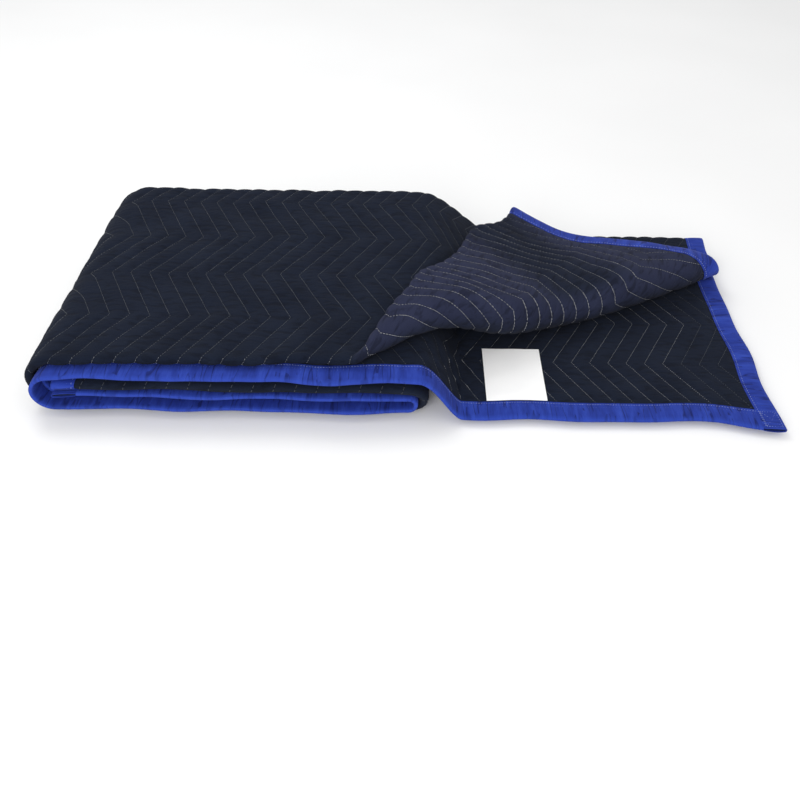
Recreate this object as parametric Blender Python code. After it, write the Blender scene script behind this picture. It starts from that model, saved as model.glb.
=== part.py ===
"""A quilted moving blanket with bound edges, folded on itself, its loose end spread to the right.

Metres, +Z up. u runs along the blanket's length from the loose end, v across its width from the
lower front edge. The width is folded in four layers, the length in four passes, and the front
corner of the upper two layers is turned back.
"""

import math

import bmesh
import bpy
from mathutils import Matrix, Vector
from mathutils.geometry import delaunay_2d_cdt

# The blanket as cut
LENGTH = 2.03
WIDTH = 1.80
CLOTH = 0.0052
HEM = 0.0030
EDGE_BINDING = 0.035
END_BINDING = 0.030
BINDING = 0.0008
GAP = 0.0003
EDGE_SET = 0.002

# The quilting: zigzag stitch lines that run across the width
LINE_SPACING = 0.027
ZIGZAG_SWING = 0.0275
ZIGZAG_LEG = 0.100
ZIGZAG_START = 0.026
ZIGZAG_CREEP = 0.42
GROOVE = 0.0014
PUFF = 0.0005

# The four layers of the folded width; the stack grows thicker towards the back
PITCH_FRONT = 0.0074
PITCH_BACK = 0.0100
LOWER_EDGE_Y = 0.022
FOLD_EDGE_Y = 0.027

# The four passes of the folded length, as X of their ends and turns
X_LOOSE_END = 0.515
X_STEP = 0.017
STEP_STEEP = 0.062
STEP_GENTLE = 0.150
STEP_LEAN = 0.7
X_LEFT_TURN = -0.476
LEFT_TURN_SKEW = 0.035
X_RIGHT_TURN = 0.004
LEFT_TURN_PITCHES = 2.5
RIGHT_TURN_PITCHES = 0.5
TOP_PASS = 0.462
LEFT_TURN = 0.088
BOTTOM_PASS = 0.456
RIGHT_TURN = 0.044
PASS_LEVELS = {"loose": 0.5, "top": 8.5, "bottom": 3.5, "middle": 4.5}

# The turned-back corner
CREASE_START = (-0.070, 0.036)
CREASE_ANGLE = math.radians(29.8)
CREASE_BOW = 0.021
BOW_MIDDLE = 0.130
BOW_REACH = 0.160
ROLL = (  # distance along the crease, radius of the roll: two bulges with a dip between
    (0.00, 0.0095),
    (0.14, 0.0200),
    (0.335, 0.0158),
    (0.48, 0.0248),
    (0.58, 0.0220),
    (0.67, 0.0130),
)
SETTLE_LENGTH = 0.16
SETTLED_LIFT = 0.165
BRIDGE = 0.292
BRIDGE_LEAD = 0.049
SWING = (-0.087, -0.011)
SWING_LENGTH = 0.22
SWING_START = 0.03

# The edges' unevenness
RIPPLE = 0.0030
RIPPLE_FADE = 0.09
CORNER_PULL = (0.004, 0.014)
TOP_FOLD_FORWARD = 0.008
MIDDLE_FOLD_FORWARD = 0.030

# The sewn label
LABEL_WIDTH = 0.085
LABEL_DEPTH = 0.118
LABEL_U = 0.316
LABEL = 0.0005


def smooth(t):
    t = min(max(t, 0.0), 1.0)
    return t * t * (3 - 2 * t)


def pitch(y):
    return PITCH_FRONT + (PITCH_BACK - PITCH_FRONT) * min(max(y / BACK_Y, 0.0), 1.0)


# Where the width's folds start, worked out from the width
FRONT_RADIUS = PITCH_FRONT / 2
FRONT_Y = FOLD_EDGE_Y + FRONT_RADIUS + CLOTH / 2
OUTER_RADIUS = 1.5 * PITCH_BACK
INNER_RADIUS = 0.5 * PITCH_BACK
TURN_LENGTHS = math.pi * (OUTER_RADIUS + INNER_RADIUS + FRONT_RADIUS)
BACK_Y = (WIDTH + 2 * FRONT_Y + LOWER_EDGE_Y - TURN_LENGTHS) / 4
V_OUTER = BACK_Y - LOWER_EDGE_Y
V_UPPER = V_OUTER + math.pi * OUTER_RADIUS
V_FRONT = V_UPPER + BACK_Y - FRONT_Y
V_SECOND = V_FRONT + math.pi * FRONT_RADIUS
V_INNER = V_SECOND + BACK_Y - FRONT_Y
V_TOP = V_INNER + math.pi * INNER_RADIUS

# Where the length's turns start
U_STEP = 0.53
GENTLE_FOOT = X_LOOSE_END - X_STEP - STEP_GENTLE
STEEP_FOOT = X_LOOSE_END - X_STEP - STEP_STEEP
U_PULL = U_STEP + 0.12
U_LEFT = U_STEP + TOP_PASS
U_BOTTOM = U_LEFT + LEFT_TURN
U_RIGHT = U_BOTTOM + BOTTOM_PASS
U_MIDDLE = U_RIGHT + RIGHT_TURN


def section(v):
    """The folded width at v: depth, height over the lowest layer in pitches, and heading."""
    if v < V_OUTER:
        return LOWER_EDGE_Y + v, 0.0, 0.0
    if v < V_UPPER:
        a = (v - V_OUTER) / OUTER_RADIUS
        return BACK_Y + OUTER_RADIUS * math.sin(a), 1.5 - 1.5 * math.cos(a), a
    if v < V_FRONT:
        return BACK_Y - (v - V_UPPER), 3.0, math.pi
    if v < V_SECOND:
        a = (v - V_FRONT) / FRONT_RADIUS
        return FRONT_Y - FRONT_RADIUS * math.sin(a), 2.5 + 0.5 * math.cos(a), math.pi + a
    if v < V_INNER:
        return FRONT_Y + (v - V_SECOND), 2.0, 2 * math.pi
    if v < V_TOP:
        a = (v - V_INNER) / INNER_RADIUS
        return BACK_Y + INNER_RADIUS * math.sin(a), 1.5 + 0.5 * math.cos(a), 2 * math.pi - a
    return BACK_Y - (v - V_TOP), 1.0, math.pi


def level(k, y):
    return CLOTH / 2 + (k - 0.5) * pitch(y)


def step_drop(x, width):
    """Share of the way down from the pile's top to the floor at x."""
    return smooth((x - X_STEP) / width)


def ground(x, y, width=STEP_GENTLE):
    """Height of the lowest layer's middle under the upper layers."""
    drop = step_drop(x, width) * (PASS_LEVELS["top"] - PASS_LEVELS["loose"])
    return level(PASS_LEVELS["top"] - drop, y)


def crease_frame(x, y):
    """Distance along the crease and in front of it; it bows back towards its left end."""
    dx, dy = x - CREASE_START[0], y - CREASE_START[1]
    along = dx * math.cos(CREASE_ANGLE) + dy * math.sin(CREASE_ANGLE)
    ahead = dx * math.sin(CREASE_ANGLE) - dy * math.cos(CREASE_ANGLE)
    off = min(abs(along - BOW_MIDDLE) / BOW_REACH, 1.0)
    return along, ahead + CREASE_BOW * (1 + math.cos(math.pi * off)) / 2


def roll_radius(along):
    for (start, low), (end, high) in zip(ROLL, ROLL[1:]):
        if along < end:
            return low + (high - low) * smooth((along - start) / (end - start))
    return ROLL[-1][1]


def turned_back(x, y, high):
    """A point of the upper two layers after the corner is rolled up and laid back."""
    along, ahead = crease_frame(x, y)
    if ahead <= -BRIDGE_LEAD:
        return x, y, high
    middle = 2.5 * pitch(y)
    radius = roll_radius(along)
    own = radius - (high - middle)
    angle = ahead / radius
    swing = 0.0
    if angle < 0:
        reach = ahead
    elif angle < math.pi:
        reach = own * math.sin(angle)
        high = middle + radius - own * math.cos(angle)
    else:
        reach = math.pi * radius - ahead
        settled = smooth(-reach / SETTLE_LENGTH) * (1 - SETTLED_LIFT)
        high = middle + radius + own - 2 * (radius - PITCH_BACK) * settled
        swing = reach * reach / (SWING_START - reach) / SWING_LENGTH
    shift = reach - ahead
    x += shift * math.sin(CREASE_ANGLE) + SWING[0] * swing
    y += SWING[1] * swing - shift * math.cos(CREASE_ANGLE)
    bridge = ground(x, y, BRIDGE) - ground(x, y)
    lifted = smooth((ahead + BRIDGE_LEAD) / (math.pi * radius + BRIDGE_LEAD))
    return x, y, high + bridge * lifted


def ripple(s):
    """An edge's unevenness at s metres along it, between about -1 and 1."""
    waves = math.sin(31 * s + 0.7) + 0.6 * math.sin(53 * s + 2.1) + 0.4 * math.sin(17 * s)
    return waves / 1.6


def left_turn_x(y):
    return X_LEFT_TURN + LEFT_TURN_SKEW * min(max(y / BACK_Y, 0.0), 1.0)


def fold_forward(u):
    """How far the upper layers' front fold is pulled forward at u."""
    over_pile = TOP_FOLD_FORWARD * smooth((u - U_PULL) / 0.20)
    return over_pile + (MIDDLE_FOLD_FORWARD - TOP_FOLD_FORWARD) * smooth((u - U_RIGHT) / RIGHT_TURN)


def place(u, v, side):
    """The folded blanket's point at u, v, side metres off the middle of the cloth."""
    y, pitches, heading = section(v)
    upper = pitches > 1.5
    layer = 0.0 if v < V_OUTER else 0.37 if upper else 0.71
    y -= side * math.sin(heading)
    near_front = 1 - smooth(y / RIPPLE_FADE)
    near_end = 1 - smooth(u / RIPPLE_FADE)
    y += RIPPLE * ripple(u + layer) * near_front
    if upper:
        y -= fold_forward(u) * near_front
    else:
        y -= CORNER_PULL[1] * near_front * near_end
    p = pitch(y)
    high = pitches * p + side * math.cos(heading)
    if u < U_STEP:
        gentle = 1.0 if upper else smooth((y - 0.22) / (BACK_Y - 0.02 - 0.22))
        width = STEP_STEEP + (STEP_GENTLE - STEP_STEEP) * gentle
        u_foot = X_LOOSE_END - X_STEP - width
        if u < u_foot:
            x, slope = X_LOOSE_END - u, 0.0
            x += (CORNER_PULL[0] * near_front + RIPPLE * ripple(v)) * near_end
        else:
            t = (U_STEP - u) / (U_STEP - u_foot)
            x = X_STEP + width * t
            rise = PASS_LEVELS["top"] - PASS_LEVELS["loose"]
            slope = -rise * p * 6 * t * (1 - t) / width
        if upper:
            x, y, high = turned_back(x, y, high)
            return Vector((x, y, ground(x, y) + high))
        drop = step_drop(x, width) * (PASS_LEVELS["top"] - PASS_LEVELS["loose"])
        lean = -slope * (1 - gentle) * STEP_LEAN
        norm = math.hypot(lean, 1.0)
        return Vector((x + high * lean / norm, y, level(PASS_LEVELS["top"] - drop, y) + high / norm))
    if u < U_LEFT:
        x = X_STEP + (left_turn_x(y) - X_STEP) * (u - U_STEP) / (U_LEFT - U_STEP)
        if upper:
            x, y, high = turned_back(x, y, high)
        return Vector((x, y, ground(x, y) + high))
    if u < U_BOTTOM:
        a = math.pi * (u - U_LEFT) / (U_BOTTOM - U_LEFT)
        r = LEFT_TURN_PITCHES * p + high
        middle = (PASS_LEVELS["top"] + PASS_LEVELS["bottom"]) / 2
        return Vector((left_turn_x(y) - r * math.sin(a), y, level(middle, y) + r * math.cos(a)))
    if u < U_RIGHT:
        x = left_turn_x(y)
        x += (X_RIGHT_TURN - x) * (u - U_BOTTOM) / (U_RIGHT - U_BOTTOM)
        return Vector((x, y, level(PASS_LEVELS["bottom"], y) - high))
    if u < U_MIDDLE:
        a = math.pi * (u - U_RIGHT) / (U_MIDDLE - U_RIGHT)
        r = RIGHT_TURN_PITCHES * p + high
        middle = (PASS_LEVELS["middle"] + PASS_LEVELS["bottom"]) / 2
        return Vector((X_RIGHT_TURN + r * math.sin(a), y, level(middle, y) - r * math.cos(a)))
    x = X_RIGHT_TURN + (left_turn_x(y) - X_RIGHT_TURN) * (u - U_MIDDLE) / (LENGTH - U_MIDDLE)
    return Vector((x, y, level(PASS_LEVELS["middle"], y) + high))


def legs_at(v):
    """Zigzag legs from the front edge to v; they creep a little on the second layer."""
    creep = ZIGZAG_CREEP * min(max((V_INNER - v) / (V_INNER - V_FRONT), 0.0), 1.0)
    return (WIDTH - ZIGZAG_START - v) / ZIGZAG_LEG + creep


def v_of_legs(legs):
    """The v at which that many legs are reached."""
    v = WIDTH - ZIGZAG_START - legs * ZIGZAG_LEG
    if v >= V_INNER:
        return v
    shorter = 1 / (1 + ZIGZAG_CREEP * ZIGZAG_LEG / (V_INNER - V_FRONT))
    v = V_INNER - (V_INNER - v) * shorter
    if v >= V_FRONT:
        return v
    return WIDTH - ZIGZAG_START - (legs - ZIGZAG_CREEP) * ZIGZAG_LEG


def zigzag(v):
    """The stitch lines' swing along u at v."""
    fold = abs((legs_at(v) % 2) - 1)
    return ZIGZAG_SWING * (1 - 2 * fold)


def flat_xy(u, v):
    """Plan position before the corner is turned back, for the loose pass and the top pass."""
    y = section(v)[0]
    foot = GENTLE_FOOT
    if u < foot:
        return X_LOOSE_END - u, y
    if u < U_STEP:
        return X_STEP + STEP_GENTLE * (U_STEP - u) / (U_STEP - foot), y
    return X_STEP + (left_turn_x(y) - X_STEP) * (u - U_STEP) / (U_LEFT - U_STEP), y


def relief(u, v):
    """How far the front face stands off its even place: down in the stitch lines, up between."""
    if not (END_BINDING + 0.005 < u < U_LEFT - 0.004):
        return 0.0
    x, y = flat_xy(u, v)
    ahead = crease_frame(x, y)[1]
    on_top = V_UPPER < v < V_SECOND and ahead < 0.02
    on_flap = V_FRONT <= v < V_INNER and ahead > -0.01
    on_spread = V_TOP + 0.02 < v < WIDTH - EDGE_BINDING - 0.005 and u < 0.43 and ahead > -0.05
    if not (on_top or on_flap or on_spread):
        return 0.0
    phase = (u - zigzag(v)) / LINE_SPACING
    wave = math.cos(2 * math.pi * phase)
    return PUFF - (PUFF + GROOVE) * (1 + wave) / 2


def half_thickness(u, v):
    """Half the cloth's thickness, thinner in the hems under the bindings."""
    inside = min(
        (v - EDGE_BINDING) / 0.005,
        (WIDTH - EDGE_BINDING - v) / 0.005,
        (u - END_BINDING) / 0.005,
        (LENGTH - END_BINDING - u) / 0.005,
    )
    t = min(max((inside - 0.06) / 0.94, 0.0), 1.0)
    return (HEM + (CLOTH - HEM) * t) / 2


END_MIDDLE = END_BINDING / 2
ROLL_STEPS = 5
LIFT_TURNS = (-0.5, -1.2, -2.0, -2.8)


def steps(start, end, count):
    return [start + (end - start) * i / count for i in range(count + 1)]


def fold_rows():
    hem = [EDGE_SET, EDGE_BINDING + GAP, EDGE_BINDING + 0.005]
    rows = hem + [WIDTH - v for v in hem]
    rows += steps(V_OUTER, V_UPPER, 6)
    rows += steps(V_FRONT, V_SECOND, 4)
    rows += steps(V_INNER, V_TOP, 4)
    return sorted(rows)


def turn_columns():
    """Straight columns: at the ends, over the step and round both turns."""
    ends = [EDGE_SET, END_BINDING + GAP, END_BINDING + 0.005]
    columns = ends + [END_MIDDLE] + [LENGTH - u for u in ends]
    columns += [0.12, 0.20, 0.28]
    columns += steps(GENTLE_FOOT, U_STEP, 8)
    columns += steps(U_STEP + 0.12, U_LEFT - 0.12, 2)
    columns += steps(U_LEFT, U_BOTTOM, 8)
    columns += [U_BOTTOM + 0.15, U_RIGHT - 0.15]
    columns += steps(U_RIGHT, U_MIDDLE, 6)
    columns += [U_MIDDLE + 0.20]
    return sorted(columns)


def edge_columns():
    """Straight columns close enough for the wavy edges and the steep step at the front."""
    columns = turn_columns()
    columns += steps(0.065, 0.335, 9) + steps(STEEP_FOOT, U_STEP, 8)
    columns += steps(U_STEP + 0.04, U_LEFT - 0.04, 10)
    columns += steps(U_BOTTOM + 0.04, U_RIGHT - 0.04, 10)
    columns += steps(U_MIDDLE + 0.04, LENGTH - 0.07, 6)
    columns = sorted(columns)
    kept = columns[:1]
    for u in columns[1:]:
        if u - kept[-1] > 0.0035:
            kept.append(u)
    return kept


class FlatMesh:
    """Points and edges on the flat cloth, for the constrained triangulation."""

    def __init__(self):
        self.points = []
        self.edges = []
        self.index = {}

    def point(self, u, v):
        key = (round(u, 6), round(v, 6))
        if key not in self.index:
            self.index[key] = len(self.points)
            self.points.append(Vector(key))
        return self.index[key]

    def line(self, path):
        ends = [self.point(u, v) for u, v in path]
        self.edges += [(a, b) for a, b in zip(ends, ends[1:]) if a != b]


def roll_turn(u, v):
    """How far round the roll a point of the upper layers lies, in radians."""
    along, ahead = crease_frame(*flat_xy(u, v))
    return ahead / roll_radius(along)


def crossing(column, value, low, high):
    """v between low and high where roll_turn on a column reaches the value."""
    below = roll_turn(column(low), low) - value
    if below * (roll_turn(column(high), high) - value) > 0:
        return None
    for _ in range(30):
        middle = (low + high) / 2
        if (roll_turn(column(middle), middle) - value) * below > 0:
            low = middle
        else:
            high = middle
    return (low + high) / 2


def add_line(flat, column, vs, keep=lambda u, v: True):
    """A column's points at vs, joined where neighbours are both kept."""
    run = []
    for v in vs:
        if keep(column(v), v):
            run.append((column(v), v))
        else:
            flat.line(run)
            run = []
    flat.line(run)


def bends(low, high, parts=1):
    """v of the stitch lines' bends between low and high, each leg in equal parts."""
    count = int(WIDTH / ZIGZAG_LEG + 2) * parts
    found = [v_of_legs(i / parts) for i in range(count)]
    return [v for v in found if low < v < high]


def mirrored(v):
    """The v on the first layer that lies over v on the second."""
    return V_FRONT + V_SECOND - v


def turned_samples(column, count=ROLL_STEPS, beyond=0):
    """v on the second layer from the front fold to the crease, close together round the roll."""
    vs = [v for v in bends(V_SECOND + 0.008, V_INNER - 0.02, 3) if roll_turn(column(v), v) > 0.25]
    turns = [math.pi * i / count for i in range(count + 1 + beyond)]
    rolled = [crossing(column, turn, V_SECOND, V_INNER - 0.01) for turn in turns]
    rolled = [v for v in rolled if v is not None]
    return sorted([v for v in vs if all(abs(v - w) > 0.008 for w in rolled)] + rolled)


def end_rows():
    """v of the points along the loose end: over the folds, the wavy edge and the roll."""
    vs = fold_rows()
    for low, high in ((EDGE_BINDING, V_OUTER), (V_TOP, WIDTH - EDGE_BINDING)):
        vs += steps(low, high, 9)[1:-1]
    turned = turned_samples(lambda v: END_BINDING / 2, 2 * ROLL_STEPS, 3)
    vs += turned + [mirrored(v) for v in turned]
    vs = sorted(vs)
    return vs[:1] + [b for a, b in zip(vs, vs[1:]) if b - a > 0.001]


def grid_lines(flat, us, vs):
    """Rows, columns and diagonals of a small grid, so that both its faces get the same triangles."""
    for u in us:
        flat.line([(u, v) for v in vs])
    for v in vs:
        flat.line([(u, v) for u in us])
    for a, b in zip(us, us[1:]):
        for c, d in zip(vs, vs[1:]):
            flat.line([(a, c), (b, d)])


def panel_flat():
    """The panel's flat triangles: rows along the folds, columns along the stitch lines."""
    flat = FlatMesh()
    rows = fold_rows()
    straight = turn_columns()
    edge = edge_columns()
    ends = [u for u in straight if u < END_BINDING + 0.006]
    turning = [u for u in straight if u > U_LEFT - 0.001]
    stepping = [u for u in edge if GENTLE_FOOT - 0.001 < u < U_STEP + 0.001]
    count = int((U_LEFT - END_BINDING) / LINE_SPACING * 2)
    lines = [END_BINDING + 0.005 + LINE_SPACING / 2 * i for i in range(count + 1)]
    spread_row = WIDTH - EDGE_BINDING - 0.005
    front_rows = steps(V_FRONT, V_SECOND, 4)
    field_end = U_LEFT - 0.005

    def in_field(u, v):
        return END_BINDING + 0.010 < u < field_end

    def in_spread(u, v):
        return END_BINDING + 0.010 < u < 0.43

    grid_lines(flat, ends, end_rows())
    for v in rows:
        beyond = 0.0
        us = [ends[-1]]
        if V_FRONT - 0.0001 < v < V_SECOND + 0.0001:
            us += [c + zigzag(v) for c in lines if in_field(c + zigzag(v), v)]
            beyond = field_end
        elif abs(v - spread_row) < 0.0001:
            us += [c + zigzag(v) for c in lines if in_spread(c + zigzag(v), v)]
            beyond = 0.435
        hidden = V_OUTER - 0.001 < v < V_UPPER + 0.001 or V_INNER - 0.001 < v < V_TOP + 0.001
        us += [u for u in (straight if hidden else edge) if u > max(beyond, ends[-1])]
        flat.line([(u, v) for u in sorted(us)])

    for u in turning:
        add_line(flat, lambda v: u, rows)
    blend = [0.22, 0.30, 0.37, BACK_Y - 0.02]
    for u in stepping:
        lower = [v for v in rows if v < V_UPPER + 0.0001] + [y - LOWER_EDGE_Y for y in blend]
        spread = [v for v in rows if v > V_INNER - 0.0001] + [V_TOP + BACK_Y - y for y in blend]
        add_line(flat, lambda v: u, sorted(lower))
        add_line(flat, lambda v: u, sorted(spread))
    for u in steps(0.20, GENTLE_FOOT, 4)[:-1] + steps(GENTLE_FOOT, U_STEP, 8):
        lifting = [crossing(lambda v: u, turn, V_SECOND, V_INNER) for turn in LIFT_TURNS]
        lifting = [v for v in lifting if v is not None]
        add_line(flat, lambda v: u, lifting + [(lifting[-1] + V_INNER) / 2, V_INNER])

    for c in lines:
        def column(v):
            return c + zigzag(v)
        seconds = turned_samples(column)
        add_line(flat, column, front_rows + seconds, in_field)
        firsts = [mirrored(v) for v in reversed(seconds)]
        add_line(flat, lambda v: column(mirrored(v)), firsts, in_field)
        crease = crossing(column, -0.4, V_UPPER, V_FRONT)
        top = V_FRONT if crease is None else crease
        if column(top) > GENTLE_FOOT + 0.02:
            parts = 1 if column(top) > U_STEP + 0.07 else 3
            vs = sorted(bends(V_UPPER + 0.012, top - 0.006, parts))
            add_line(flat, column, [V_UPPER + 0.008] + vs + [top], in_field)
        low = crossing(column, -2.2, V_TOP, WIDTH)
        low = V_TOP + 0.02 if low is None else low
        vs = [low] + sorted(bends(low + 0.006, spread_row - 0.006)) + [spread_row]
        add_line(flat, column, vs, in_spread)

    for i in range(ROLL_STEPS + 1):
        turn = math.pi * i / ROLL_STEPS
        for layer in (lambda v: v, mirrored):
            path = []
            v = crossing(lambda v: END_BINDING / 2, turn, V_SECOND, V_INNER - 0.01)
            if v is not None:
                path.append((ends[-1], layer(v)))
            for c in lines:
                def column(v):
                    return c + zigzag(v)
                v = crossing(column, turn, V_SECOND, V_INNER - 0.01)
                if v is not None and in_field(column(v), v):
                    path.append((column(v), layer(v)))
            flat.line(sorted(path))
    return flat


def coat(name, colour, roughness):
    material = bpy.data.materials.new(name)
    material.use_nodes = True
    shader = material.node_tree.nodes["Principled BSDF"]
    shader.inputs["Base Color"].default_value = (*colour, 1)
    shader.inputs["Roughness"].default_value = roughness
    return material


def finish(name, bm, material):
    bmesh.ops.recalc_face_normals(bm, faces=bm.faces)
    if bm.calc_volume(signed=True) < 0:
        bmesh.ops.reverse_faces(bm, faces=bm.faces)
    mesh = bpy.data.meshes.new(name)
    bm.to_mesh(mesh)
    bm.free()
    mesh.materials.append(material)
    mesh.shade_smooth()
    mesh.set_sharp_from_angle(angle=math.radians(40))
    obj = bpy.data.objects.new(name, mesh)
    bpy.context.collection.objects.link(obj)
    return obj


def two_skins(name, flat_points, flat_faces, front, back, material):
    """A closed sheet: flat faces placed on its front skin, extruded to its back skin."""
    bm = bmesh.new()
    u_layer = bm.verts.layers.float.new("u")
    v_layer = bm.verts.layers.float.new("v")
    verts = []
    for u, v in flat_points:
        vert = bm.verts.new((u, v, 0))
        vert[u_layer] = u
        vert[v_layer] = v
        verts.append(vert)
    for face in flat_faces:
        bm.faces.new([verts[i] for i in face])
    raised = bmesh.ops.extrude_face_region(bm, geom=bm.faces[:], use_keep_orig=True)["geom"]
    backs = {e for e in raised if isinstance(e, bmesh.types.BMVert)}
    for vert in bm.verts:
        u, v = vert[u_layer], vert[v_layer]
        vert.co = back(u, v) if vert in backs else front(u, v)
    return finish(name, bm, material)


def build_panel(material):
    flat = panel_flat()
    points, _, faces, _, _, _ = delaunay_2d_cdt(flat.points, flat.edges, [], 0, 1e-7)

    def front(u, v):
        return place(u, v, -half_thickness(u, v) - relief(u, v))

    def back(u, v):
        return place(u, v, half_thickness(u, v))

    return two_skins("quilted_panel", [(p.x, p.y) for p in points], faces, front, back, material)


def swept(name, stations, profile, point, material):
    """A closed strip: the profile's loop placed at each station and bridged to the next."""
    bm = bmesh.new()
    rings = [[bm.verts.new(point(s, a, b)) for a, b in profile] for s in stations]
    for one, two in zip(rings, rings[1:]):
        for i in range(len(profile)):
            j = (i + 1) % len(profile)
            if profile[j][0] > profile[i][0]:
                bm.faces.new((one[i], one[j], two[j]))
                bm.faces.new((one[i], two[j], two[i]))
            else:
                bm.faces.new((one[i], one[j], two[i]))
                bm.faces.new((one[j], two[j], two[i]))
    count = len(profile) // 2
    for ring in (rings[0], rings[-1]):
        for i in range(count - 1):
            bm.faces.new((ring[i], ring[i + 1], ring[-i - 2], ring[-i - 1]))
    return finish(name, bm, material)


def binding_profile(width, middle=()):
    """Distance from the cloth's edge and side off its middle: outer wall, then inner wall back."""
    outer = CLOTH / 2
    inner = outer - BINDING
    tip = EDGE_SET - GAP
    walls = [(width, outer)] + [(d, outer) for d in middle] + [(0.001, outer), (0.0, outer * 0.45)]
    walls += [(d, -s) for d, s in reversed(walls)]
    lining = [(width, -inner)] + [(d, -inner) for d in middle] + [(tip, -inner), (tip, -inner * 0.45)]
    lining += [(d, -s) for d, s in reversed(lining)]
    return walls + lining


def build_bindings(material):
    first, last = END_BINDING + GAP, LENGTH - END_BINDING - GAP
    along = [u for u in edge_columns() if first - 0.0001 < u < last + 0.0001]
    profile = binding_profile(EDGE_BINDING)
    swept("lower_edge_binding", along, profile, lambda u, d, s: place(u, d, s), material)
    swept("front_edge_binding", along, profile, lambda u, d, s: place(u, WIDTH - d, s), material)
    profile = binding_profile(END_BINDING, [END_MIDDLE])
    across = [0.0] + end_rows()[1:-1] + [WIDTH]
    swept("loose_end_binding", across, profile, lambda v, d, s: place(d, v, s), material)
    profile = binding_profile(END_BINDING)
    across = [0.0] + fold_rows()[1:-1] + [WIDTH]
    swept("inner_end_binding", across, profile, lambda v, d, s: place(LENGTH - d, v, s), material)


def build_label(material):
    top = WIDTH - EDGE_BINDING - GAP
    us = steps(LABEL_U, LABEL_U + LABEL_WIDTH, 4)
    vs = steps(top - LABEL_DEPTH, top, 6)
    points = [(u, v) for v in vs for u in us]
    n = len(us)
    faces = [
        (j * n + i, j * n + i + 1, j * n + n + i + 1, j * n + n + i)
        for j in range(len(vs) - 1)
        for i in range(n - 1)
    ]
    low = CLOTH / 2 + PUFF + GAP
    return two_skins(
        "label", points, faces,
        lambda u, v: place(u, v, -low - LABEL),
        lambda u, v: place(u, v, -low),
        material,
    )


def stand_at_origin(meshes):
    """The origin becomes the middle of the whole blanket's bottom."""
    points = [vert.co for mesh in meshes for vert in mesh.vertices]
    low = Vector([min(p[i] for p in points) for i in range(3)])
    high = Vector([max(p[i] for p in points) for i in range(3)])
    middle = Vector(((low.x + high.x) / 2, (low.y + high.y) / 2, low.z))
    for mesh in meshes:
        mesh.transform(Matrix.Translation(-middle))


def main():
    for obj in list(bpy.data.objects):
        bpy.data.objects.remove(obj)
    cloth = coat("quilted cloth", (0.020, 0.026, 0.045), 0.95)
    blue = coat("blue binding", (0.030, 0.055, 0.36), 0.8)
    white = coat("white label", (0.85, 0.85, 0.85), 0.7)
    build_panel(cloth)
    build_bindings(blue)
    build_label(white)
    stand_at_origin([obj.data for obj in bpy.context.collection.objects])


main()
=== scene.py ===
import math
import bmesh
import bpy
from mathutils import Matrix, Vector, noise


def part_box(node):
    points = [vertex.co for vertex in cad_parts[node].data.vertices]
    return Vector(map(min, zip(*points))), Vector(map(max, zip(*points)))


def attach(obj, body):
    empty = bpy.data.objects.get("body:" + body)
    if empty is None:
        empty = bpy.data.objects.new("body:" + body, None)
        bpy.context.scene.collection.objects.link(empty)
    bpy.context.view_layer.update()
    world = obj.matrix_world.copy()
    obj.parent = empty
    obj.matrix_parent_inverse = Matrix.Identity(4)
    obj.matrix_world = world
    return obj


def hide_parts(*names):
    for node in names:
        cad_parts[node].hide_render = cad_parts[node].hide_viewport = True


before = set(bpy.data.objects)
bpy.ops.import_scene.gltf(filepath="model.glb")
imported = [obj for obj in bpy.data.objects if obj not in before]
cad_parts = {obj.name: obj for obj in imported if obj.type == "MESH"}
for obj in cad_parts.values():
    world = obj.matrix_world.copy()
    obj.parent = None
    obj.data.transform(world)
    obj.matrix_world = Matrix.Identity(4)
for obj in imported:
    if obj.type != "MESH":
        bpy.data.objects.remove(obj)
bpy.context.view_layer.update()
print("frame loaded:", sorted(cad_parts))

# the blanket as cut, in metres; u runs from the loose end, v from the lower front edge
cloth = {
    "length": 2.03,
    "width": 1.80,
    "thick": 0.0052,
    "hem": 0.0030,
    "edgeBand": 0.035,
    "endBand": 0.030,
    "gap": 0.0003,
    "edgeSet": 0.002,
}

# how it is folded: four layers across the width, four passes along the length
fold = {
    "pitchFront": 0.0074,
    "pitchBack": 0.0100,
    "lowerEdgeY": 0.022,
    "foldEdgeY": 0.027,
    "looseEndX": 0.515,
    "stepX": 0.017,
    "stepSteep": 0.062,
    "stepGentle": 0.150,
    "stepLean": 0.7,
    "leftTurnX": -0.476,
    "leftTurnSkew": 0.035,
    "rightTurnX": 0.004,
    "leftPitches": 2.5,
    "rightPitches": 0.5,
    "uStep": 0.53,
    "topPass": 0.462,
    "leftTurn": 0.088,
    "bottomPass": 0.456,
    "rightTurn": 0.044,
    "looseLevel": 0.5,
    "topLevel": 8.5,
    "bottomLevel": 3.5,
    "middleLevel": 4.5,
    "ripple": 0.0030,
    "rippleFade": 0.09,
    "cornerPull": (0.004, 0.014),
    "topFoldForward": 0.008,
    "middleFoldForward": 0.030,
}

# the corner that is rolled up and laid back
corner = {
    "start": (-0.070, 0.036),
    "angle": math.radians(29.8),
    "bow": 0.021,
    "bowMiddle": 0.130,
    "bowReach": 0.160,
    "roll": ((0.00, 0.0095), (0.14, 0.0200), (0.335, 0.0158), (0.48, 0.0248), (0.58, 0.0220),
             (0.67, 0.0130)),
    "settle": 0.16,
    "lift": 0.165,
    "bridge": 0.292,
    "bridgeLead": 0.049,
    "swing": (-0.087, -0.011),
    "swingLength": 0.22,
    "swingStart": 0.03,
}

quilt = {
    "spacing": 0.027,
    "swing": 0.0275,
    "leg": 0.100,
    "start": 0.026,
    "creep": 0.42,
    "groove": 0.0014,
    "puff": 0.0005,
}


def smooth(t):
    t = min(max(t, 0.0), 1.0)
    return t * t * (3 - 2 * t)


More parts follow.
